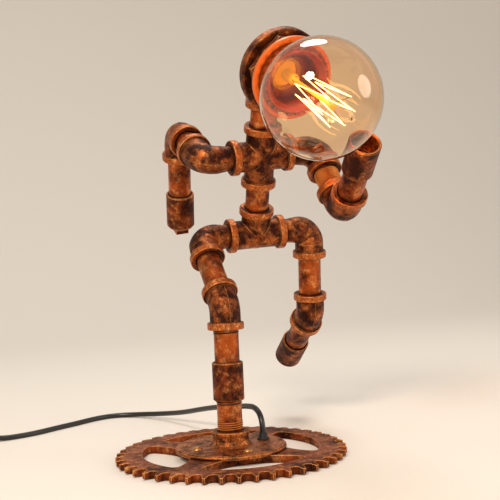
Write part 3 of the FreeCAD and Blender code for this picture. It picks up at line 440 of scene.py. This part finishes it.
# Brown enamel on the moulded ring between the bulb and the lacquered one
grip_paint = plain("grip ring, brown enamel", "#8a3412", 0.42, 0.3)
# A dark ring without gloss at the mouth of a joint, painted shade in the recess there
painted_shade_ring = plain("joint ring, painted shade", "#140906", 0.55)
print("plain materials: 10")

# %% [markdown]
# ## Glass and the lit filament
# Clear glass with a faint amber tint. Rays that only ask for shadow pass straight through
# it, so that the bulb doesn't darken what is behind it.

# %% Glass materials


def clear_glass(name, tint, rough):
    material, tree, shader = new_material(name)
    shader.inputs["Base Color"].default_value = linear(tint)
    shader.inputs["Roughness"].default_value = rough
    shader.inputs["Transmission Weight"].default_value = 1.0
    shader.inputs["IOR"].default_value = 1.45
    output = tree.nodes["Material Output"]
    ray = add_node(tree, "ShaderNodeLightPath")
    through = add_node(tree, "ShaderNodeBsdfTransparent", {"Color": linear(tint)})
    mixed = add_node(tree, "ShaderNodeMixShader", {
        0: ray.outputs["Is Shadow Ray"], 1: shader.outputs[0], 2: through.outputs[0],
    })
    tree.links.new(mixed.outputs[0], output.inputs["Surface"])
    return material


def glowing(name, colour, strength):
    material, tree, shader = new_material(name)
    shader.inputs["Base Color"].default_value = linear(colour)
    shader.inputs["Emission Color"].default_value = linear(colour)
    shader.inputs["Emission Strength"].default_value = strength
    return material


bulb_glass = clear_glass("bulb, amber glass", "#ffe9cc", 0.0)
# The stem's orange emission is a painted glow, for the light of the lit bulb on its glass
stem_glass = glowing("stem, pressed glass with painted glow", "#e8a020", 0.5)
filament_glow = glowing("filament, glowing tungsten", "#ffdf9a", 5.0)
print("glass: 1, glowing: 2")

# %% [markdown]
# ## Every piece gets its finish
# The record names the material of each piece of the frame. One table turns these names into
# the finishes above. Three pieces look different from others of the same material, so they
# are listed by their own names: the rougher flange, the brown ring and the dark hooks.

# %% Give every node of the frame its finish
finish_of_slot = {
    "cast_fitting": cast_iron,
    "steel_pipe": drawn_pipe,
    "steel_coupling": coupling_steel,
    "sprocket_steel": sprocket_steel,
    "screw_steel": screw_steel,
    "rubber_black": rubber,
    "lead_sheath": cord_pvc,
    "cord_sheath": cord_pvc,
    "plug_plastic": hard_abs,
    "rocker_plastic": hard_abs,
    "holder_plastic": holder_paint,
    "holder_brass": brass,
    "ring_plastic": ring_lacquer_and_glow,
    "cap_brass": brass,
    "bulb_glass": bulb_glass,
    "stem_glass": stem_glass,
    "filament_metal": filament_glow,
}
finish_of_node = {
    "floor_flange": flange_iron,
    "front_shade_ring": grip_paint,
    "filament_hooks": hook_wire,
}
for part in frame["record"]["subparts"]:
    name = part["node"]
    mesh = nodes[name].data
    mesh.materials.clear()
    mesh.materials.append(finish_of_node.get(name, finish_of_slot[part["material_slot"]]))

# %% [markdown]
# ## Threads
# A nipple's taper thread is longer than its socket is deep, so a few crests stay in view.
# The solids leave threads out. Here a thread is a ridge with a V section, wound as a helix
# with the real spacing of 14 turns to the inch. It shows most above the collar of the
# flange and on the short nipple of the right upper arm.

# %% Threads
thread_pitch = 0.0254 / 14
pipe_radius = 0.01065
crest_rise = 0.0005
root_sink = 0.0002
steps_per_turn = 48
fade_steps = 6
flank_share = 0.42


def thread(name, mouth, direction, turns, body, material):
    """A helical ridge on a pipe that starts at the mouth of a fitting."""
    across = direction.orthogonal().normalized()
    other = direction.cross(across)
    half = thread_pitch * flank_share
    section = ((-half, -root_sink), (0.0, crest_rise), (half, -root_sink))
    mesh = bpy.data.meshes.new(name)
    vertices = []
    faces = []
    steps = int(turns * steps_per_turn)
    for step in range(steps + 1):
        angle = 2 * math.pi * step / steps_per_turn
        spoke = across * math.cos(angle) + other * math.sin(angle)
        rise = thread_pitch * (0.5 + step / steps_per_turn)
        fade = min(1.0, step / fade_steps, (steps - step) / fade_steps)
        for along, out in section:
            height = out if out < 0 else out * fade
            vertices.append(mouth + direction * (rise + along) + spoke * (pipe_radius + height))
    for step in range(steps):
        first = 3 * step
        for side in (0, 1):
            corner = first + side
            faces.append((corner, corner + 1, corner + 4, corner + 3))
    mesh.from_pydata(vertices, [], faces)
    mesh.materials.append(material)
    piece = bpy.data.objects.new(name, mesh)
    bpy.context.scene.collection.objects.link(piece)
    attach(piece, body)
    return piece


def mouth_near(pipe, centre):
    """Where a nipple enters the fitting at a given centre, and its direction away from it."""
    start = min(axes[pipe], key=lambda point: (point - centre).length)
    direction = away_from(centre, axes[pipe])
    return start + direction * thread_engagement, direction


flange_top = Vector((0, 0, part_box("floor_flange")[1].z))
coupling_foot = Vector((0, 0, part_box("leg_coupling")[0].z))
knee_mouth, knee_down = mouth_near("leg_nipple_upper", knee)
arm_mouth, arm_out = mouth_near("right_arm_nipple", centres["right_shoulder_elbow"])
bright_thread = plain("thread, cut steel with copper rubbed off", "#cf7f3a", 0.3, 0.85)
up = Vector((0, 0, 1))
thread("thread_at_flange", flange_top, up, 4.5, "base", bright_thread)
thread("thread_on_right_arm", arm_mouth, arm_out, 9.5, "right_upper_arm", bright_thread)
# Two dark rings wound like a thread are painted shade in the recesses under the coupling and the
# knee
thread("painted_shade_under_coupling", coupling_foot, -up, 1.2, "base", painted_shade_ring)
thread("painted_shade_under_knee", knee_mouth, knee_down, 1.6, "base", painted_shade_ring)
print("threads: 4")

# %% [markdown]
# ## Casting seams
# Each elbow was cast in two halves of a sand mould that met in the plane of the bend. What
# is left of the joint is a low ridge along the outside of the bend. It is a thin tube, sunk
# into the wall. Each of its points is found with a ray from outside towards the middle of
# the bend: the first wall that the ray meets is where the ridge lies.

# %% Casting seams
seam_radius = 0.0006
seam_sink = 0.0002
band_width = 0.0061
ray_start = 0.04
straight_steps = 3
arc_steps = 10


def wall_point(tree, inside, out):
    """The outer wall of a fitting, seen from outside towards a point on its axis."""
    hit = tree.ray_cast(inside + out * ray_start, -out)[0]
    return hit - out * seam_sink


def seam(name, node, centre, first_dir, first_reach, second_dir, second_reach, bend_radius):
    """The ridge along the outside of a bend, between the bands of the two ports."""
    mesh = nodes[node].data
    faces = [tuple(face.vertices) for face in mesh.polygons]
    tree = BVHTree.FromPolygons([vertex.co for vertex in mesh.vertices], faces)
    turn = math.pi - first_dir.angle(second_dir)
    tangent = bend_radius * math.tan(turn / 2)
    inward = (second_dir - first_dir * second_dir.dot(first_dir)).normalized()
    last_out = (second_dir * first_dir.dot(second_dir) - first_dir).normalized()
    middle = centre + first_dir * tangent + inward * bend_radius
    points = []
    for step in range(straight_steps):
        reach = first_reach + (tangent - first_reach) * step / straight_steps
        points.append(wall_point(tree, centre + first_dir * reach, -inward))
    for step in range(arc_steps + 1):
        angle = turn * step / arc_steps
        out = -inward * math.cos(angle) - first_dir * math.sin(angle)
        points.append(wall_point(tree, middle + out * bend_radius, out))
    for step in range(1, straight_steps + 1):
        reach = tangent + (second_reach - tangent) * step / straight_steps
        points.append(wall_point(tree, centre + second_dir * reach, last_out))
    curve = bpy.data.curves.new(name, "CURVE")
    curve.dimensions = "3D"
    curve.bevel_depth = seam_radius
    curve.bevel_resolution = 2
    curve.use_fill_caps = True
    spline = curve.splines.new("POLY")
    spline.points.add(len(points) - 1)
    for target, point in zip(spline.points, points):
        target.co = (*point, 1.0)
    curve.materials.append(cast_iron)
    piece = bpy.data.objects.new(name, curve)
    bpy.context.scene.collection.objects.link(piece)
    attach(piece, nodes[node]["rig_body"])
    return piece


elbow_reach = 0.0269
angle_reach = 0.0196
elbow_bend = 0.014
angle_bend = 0.016
street_bend = 0.0135
street_straight = 0.018
band_clearance = 0.0005
seam_pipes = {
    "left_elbow": ("left_arm_nipple", "left_forearm_nipple", elbow_reach, elbow_bend),
    "right_elbow": ("right_arm_nipple", "right_forearm_nipple", elbow_reach, elbow_bend),
    "left_knee_elbow": ("leg_nipple_upper", "left_thigh_nipple", angle_reach, angle_bend),
    "right_knee_elbow": ("right_thigh_nipple", "right_shin_nipple", angle_reach, angle_bend),
}
street_pipes = {
    "left_hip_elbow": ("left_thigh_nipple", pelvis),
    "right_hip_elbow": ("right_thigh_nipple", pelvis),
    "left_shoulder_elbow": ("left_arm_nipple", chest),
    "right_shoulder_elbow": ("right_arm_nipple", chest),
}
for name, (first, second, reach, bend) in seam_pipes.items():
    centre = centres[name]
    straight = reach - band_width - band_clearance
    seam(
        "seam_" + name, name, centre, away_from(centre, axes[first]), straight,
        away_from(centre, axes[second]), straight, bend,
    )
for name, (pipe, hub) in street_pipes.items():
    centre = centres[name]
    seam(
        "seam_" + name, name, centre, away_from(centre, axes[pipe]),
        elbow_reach - band_width - band_clearance,
        (hub - centre).normalized(), street_straight, street_bend,
    )
print("casting seams:", len(seam_pipes) + len(street_pipes))

# %% [markdown]
# ## The cord
# A black two-core cord, 5 mm thick. It comes up out of the flange beside the collar, arches
# over behind the standing leg, and runs along the table to the left. Past the edge of the
# picture it has its in-line switch and is wound into a neat coil, with the plug beside it.

# %% Cord
cord_diameter = 0.005
cord_radius = cord_diameter / 2

cord_run_points = [
    (0.03127, 0.00384, 0.0100),
    (0.03127, 0.00384, 0.0215),
    (0.0316, 0.0100, 0.0310),
    (0.0312, 0.0225, 0.0355),
    (0.0295, 0.0390, 0.0340),
    (0.0265, 0.0610, 0.0305),
    (0.0220, 0.0900, 0.0265),
    (0.0150, 0.1240, 0.0200),
    (0.0060, 0.1600, 0.0120),
    (-0.0060, 0.1950, 0.0065),
    (-0.0230, 0.2250, 0.0030),
    (-0.0460, 0.2380, 0.0025),
    (-0.0680, 0.2330, 0.0025),
    (-0.0920, 0.2170, 0.0025),
    (-0.1160, 0.2030, 0.0025),
    (-0.1380, 0.1885, 0.0025),
    (-0.1600, 0.1810, 0.0025),
    (-0.1740, 0.1790, 0.0030),
    (-0.1845, 0.1773, 0.0060),
    (-0.1945, 0.1765, 0.0090),
    (-0.2050, 0.1765, 0.0090),
]
cord_to_coil_points = [
    (-0.2650, 0.1765, 0.0090),
    (-0.2750, 0.1765, 0.0090),
    (-0.2855, 0.1725, 0.0065),
    (-0.2935, 0.1630, 0.0040),
    (-0.2986, 0.1500, 0.0025),
    (-0.3010, 0.1280, 0.0025),
    (-0.2984, 0.1040, 0.0025),
    (-0.2984, 0.0800, 0.0025),
]


def nurbs_cord(name, points):
    """A round cord along a smooth line through given points."""
    curve = bpy.data.curves.new(name, "CURVE")
    curve.dimensions = "3D"
    curve.bevel_depth = cord_radius
    curve.bevel_resolution = 6
    curve.resolution_u = 8
    curve.use_fill_caps = True
    spline = curve.splines.new("NURBS")
    spline.points.add(len(points) - 1)
    for target, point in zip(spline.points, points):
        target.co = (*point, 1.0)
    spline.order_u = 3
    spline.use_endpoint_u = True
    curve.materials.append(cord_pvc)
    piece = bpy.data.objects.new(name, curve)
    bpy.context.scene.collection.objects.link(piece)
    return piece


# %% [markdown]
# The coil is wound from the outside in on the table, and from the inside out again on top,
# so both of its ends are outside. It is worked out one half circle at a time: each half
# circle starts where the last one ended, a little nearer to the middle. The points stand
# slightly outside the circle, because a NURBS line cuts the corners between its points.

# %% Turns of the coil
coil_centre = Vector((-0.262, 0.075, 0.0))
coil_outer_radius = 0.0364
coil_pitch = 0.0056
coil_layer_step = 0.0056
coil_half_turns = 13
coil_climb_step = 6
coil_climb_room = 0.0009
coil_straight = 0.005
points_per_half_turn = 8


def coil_route():
    """The turns of the coil: in on the table and out again on top, half circle by half circle."""
    ends = []
    for step in range(coil_half_turns + 1):
        sunk = min(step, coil_half_turns - step)
        radius = coil_outer_radius - coil_pitch * sunk / 2
        if step in (coil_climb_step, coil_climb_step + 1):
            radius -= coil_climb_room
        level = cord_radius if step <= coil_climb_step else cord_radius + coil_layer_step
        side = -1 if step % 2 == 0 else 1
        ends.append(coil_centre + Vector((side * radius, 0, level)))
    route = []
    swell = 1 / math.cos(math.pi / points_per_half_turn / 2)
    for step in range(coil_half_turns):
        start, end = ends[step], ends[step + 1]
        middle = (start + end) / 2
        spoke = start - middle
        heading = Vector((0, -1 if step % 2 == 0 else 1, 0)) * spoke.length
        for part in range(points_per_half_turn):
            angle = math.pi * (part + 0.5) / points_per_half_turn
            route.append(middle + (spoke * math.cos(angle) + heading * math.sin(angle)) * swell)
    route.append(ends[-1])
    route.append(ends[-1] + Vector((0, coil_straight, 0)))
    return [tuple(point) for point in route]


# %% [markdown]
# Where the cord leaves the switch, a moulded sleeve keeps it from kinking. It is the cord's
# own line again, only thicker, and each point along it is a little thinner than the last.

# %% Strain reliefs, and what the cord carries
relief_wide = 0.0048
relief_narrow = 0.0031


def tapered_sleeve(name, points, start_radius, end_radius):
    """A moulded strain relief that follows the cord and narrows as it leaves the housing."""
    sleeve = nurbs_cord(name, points)
    sleeve.data.bevel_depth = start_radius
    sleeve.data.materials[0] = rubber
    spline = sleeve.data.splines[0]
    for number, target in enumerate(spline.points):
        share = number / (len(points) - 1)
        target.radius = 1 + (end_radius / start_radius - 1) * share
    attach(sleeve, "base")
    return sleeve


cord_from_base = nurbs_cord("cord_from_base", cord_run_points)
cord_to_plug = nurbs_cord("cord_to_plug", cord_to_coil_points + coil_route())
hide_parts("cord_run")
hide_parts("cord_link", "cord_coil")
for piece in (cord_from_base, cord_to_plug):
    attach(piece, "base")
relief_in = tapered_sleeve(
    "switch_relief_in", cord_run_points[-1:-4:-1], relief_wide, relief_narrow
)
relief_out = tapered_sleeve(
    "switch_relief_out", cord_to_coil_points[:3], relief_wide, relief_narrow
)

# %% [markdown]
# ## Floor and light
# A plain pale sweep: a floor that curves up into a backdrop, so that no edge crosses the
# picture. One large soft lamp at the front left, a weaker one at the right and one above
# give round metal a light side and a dark side.

# %% Sweep
sweep_width = 30.0
sweep_front = -15.0
sweep_back = 2.2
cove_radius = 1.2
sweep_height = 4.0
cove_steps = 24
outline = [(sweep_front, 0.0)]
for step in range(cove_steps + 1):
    angle = math.pi / 2 * step / cove_steps
    outline.append((
        sweep_back - cove_radius + cove_radius * math.sin(angle),
        cove_radius - cove_radius * math.cos(angle),
    ))
outline.append((sweep_back, sweep_height))
sweep_mesh = bpy.data.meshes.new("sweep")
half_width = sweep_width / 2
sweep_mesh.from_pydata(
    [(side * half_width, y, z) for y, z in outline for side in (-1, 1)],
    [],
    [(2 * step, 2 * step + 1, 2 * step + 3, 2 * step + 2) for step in range(len(outline) - 1)],
)
for face in sweep_mesh.polygons:
    face.use_smooth = True
sweep = bpy.data.objects.new("sweep", sweep_mesh)
bpy.context.scene.collection.objects.link(sweep)
paper, _, paper_shader = new_material("sweep, pale paper")
paper_shader.inputs["Base Color"].default_value = linear("#ddd6cd")
paper_shader.inputs["Roughness"].default_value = 0.8
sweep_mesh.materials.append(paper)

print("sweep:", len(outline), "points in its outline")

# %% [markdown]
# An even, nearly white world fills the shadows. The lamps are round, because a round lamp
# leaves a soft oval on the globe. The filament also gives off its own warm light, from a
# lamp that rides on the head. That lamp stays out of sight, also through the glass: what
# shows is the wire.

# %% World and lamps
world = bpy.data.worlds.new("studio")
bpy.context.scene.world = world
world.use_nodes = True
sky = world.node_tree.nodes["Background"]
sky.inputs["Color"].default_value = linear("#f0ebe4")
sky.inputs["Strength"].default_value = 0.75


def soft_lamp(name, place, target, size, power, colour):
    """A large round lamp that points at a spot on the object."""
    data = bpy.data.lights.new(name, "AREA")
    data.shape = "DISK"
    data.size = size
    data.energy = power
    data.color = linear(colour)[:3]
    lamp = bpy.data.objects.new(name, data)
    bpy.context.scene.collection.objects.link(lamp)
    lamp.location = place
    aim = Vector(target) - Vector(place)
    lamp.rotation_euler = aim.to_track_quat("-Z", "Y").to_euler()
    return lamp


chest_place = (0.03, 0, 0.22)
soft_lamp("key", (-1.0, -1.1, 1.25), chest_place, 0.5, 26.0, "#fff1df")
soft_lamp("fill", (1.3, -0.8, 0.6), chest_place, 0.8, 7.0, "#fff3e6")
soft_lamp("top", (0.2, 0.5, 1.6), chest_place, 0.6, 8.0, "#ffffff")

lamp_glow_data = bpy.data.lights.new("filament_light", "POINT")
lamp_glow_data.energy = 0.2
lamp_glow_data.color = linear("#ffb060")[:3]
lamp_glow_data.shadow_soft_size = 0.012
lamp_glow = bpy.data.objects.new("filament_light", lamp_glow_data)
bpy.context.scene.collection.objects.link(lamp_glow)
lamp_glow.visible_camera = False
lamp_glow.visible_glossy = False
lamp_glow.visible_transmission = False
glass_low, glass_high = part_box("bulb_filament")
lamp_glow.location = (glass_low + glass_high) / 2
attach(lamp_glow, "head")
bpy.context.scene.view_settings.view_transform = "Standard"
print("lamps: 4")
